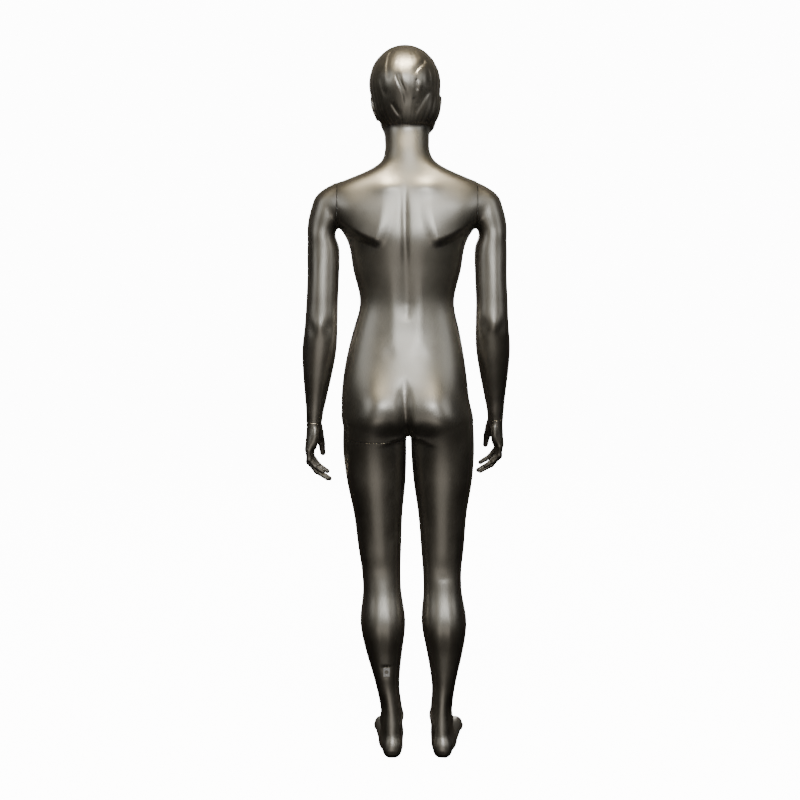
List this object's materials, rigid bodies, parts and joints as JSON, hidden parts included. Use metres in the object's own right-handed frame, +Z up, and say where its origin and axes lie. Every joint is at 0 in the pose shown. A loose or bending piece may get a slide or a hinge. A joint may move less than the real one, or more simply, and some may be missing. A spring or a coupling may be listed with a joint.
{
  "type": "full body mannequin",
  "caption": "Standing female display mannequin with moulded hair, in glossy dark pewter, with a pull-off leg and turning arms and hands.",
  "frame": {"origin": "on the floor, under the middle of the figure's bounding box", "axes": "+Z up, -Y the way the figure faces, +X the figure's left"},
  "size_m": [0.5222, 0.2828, 1.781],
  "materials": {
    "pewter_paint": "metallic pewter lacquer under clear gloss, on glass fibre",
    "plywood": "raw birch plywood",
    "zinc_steel": "zinc plated",
    "nylon": "moulded black nylon",
    "bright_plate": "satin plated"
  },
  "bodies": {
    "torso": {"torso_shell": "pewter_paint", "hip_board": "plywood", "hip_socket": "zinc_steel", "hip_socket_screw_1": "zinc_steel", "hip_socket_screw_2": "zinc_steel", "hip_socket_screw_3": "zinc_steel", "hip_socket_screw_4": "zinc_steel", "left_shoulder_board": "plywood", "left_shoulder_socket": "zinc_steel", "left_shoulder_socket_screw_1": "zinc_steel", "left_shoulder_socket_screw_2": "zinc_steel", "left_shoulder_socket_screw_3": "zinc_steel", "right_shoulder_board": "plywood", "right_shoulder_socket": "zinc_steel", "right_shoulder_socket_screw_1": "zinc_steel", "right_shoulder_socket_screw_2": "zinc_steel", "right_shoulder_socket_screw_3": "zinc_steel"},
    "left_leg": {"left_leg_shell": "pewter_paint", "left_leg_board": "plywood", "left_leg_spigot": "zinc_steel", "left_leg_spigot_screw_1": "zinc_steel", "left_leg_spigot_screw_2": "zinc_steel", "left_leg_spigot_screw_3": "zinc_steel", "left_leg_spigot_screw_4": "zinc_steel", "calf_support_plate": "bright_plate", "calf_support_tube": "zinc_steel", "calf_support_plate_screw_1": "zinc_steel", "calf_support_plate_screw_2": "zinc_steel"},
    "left_arm": {"left_arm_shell": "pewter_paint", "left_arm_board": "plywood", "left_arm_stud": "zinc_steel", "left_arm_stud_screw_1": "zinc_steel", "left_arm_stud_screw_2": "zinc_steel", "left_arm_stud_screw_3": "zinc_steel", "left_wrist_socket": "nylon"},
    "left_hand": {"left_hand": "pewter_paint", "left_wrist_plug": "zinc_steel", "left_wrist_plug_screw": "zinc_steel"},
    "right_arm": {"right_arm_shell": "pewter_paint", "right_arm_board": "plywood", "right_arm_stud": "zinc_steel", "right_arm_stud_screw_1": "zinc_steel", "right_arm_stud_screw_2": "zinc_steel", "right_arm_stud_screw_3": "zinc_steel", "right_wrist_socket": "nylon"},
    "right_hand": {"right_hand": "pewter_paint", "right_wrist_plug": "zinc_steel", "right_wrist_plug_screw": "zinc_steel"}
  },
  "joints": [
    {"name": "left_leg_pull_off", "type": "slide", "parent": "torso", "child": "left_leg", "axis": [0, 0, -1], "range_m": [0, 0.08]},
    {"name": "left_arm_swing", "type": "hinge", "parent": "torso", "child": "left_arm", "pos_m": [0.1684, 0.0261, 1.406], "axis": [-1, 0, 0], "range_deg": [-30, 90]},
    {"name": "left_hand_turn", "type": "hinge", "parent": "left_arm", "child": "left_hand", "pos_m": [0.2354, -0.0049, 0.861], "axis": [-0.0927, 0.1571, 0.9832], "range_deg": [-90, 90]},
    {"name": "right_arm_swing", "type": "hinge", "parent": "torso", "child": "right_arm", "pos_m": [-0.1716, 0.0261, 1.406], "axis": [-1, 0, 0], "range_deg": [-30, 90]},
    {"name": "right_hand_turn", "type": "hinge", "parent": "right_arm", "child": "right_hand", "pos_m": [-0.2316, -0.0399, 0.866], "axis": [0.0704, 0.2895, 0.9546], "range_deg": [-90, 90]}
  ]
}
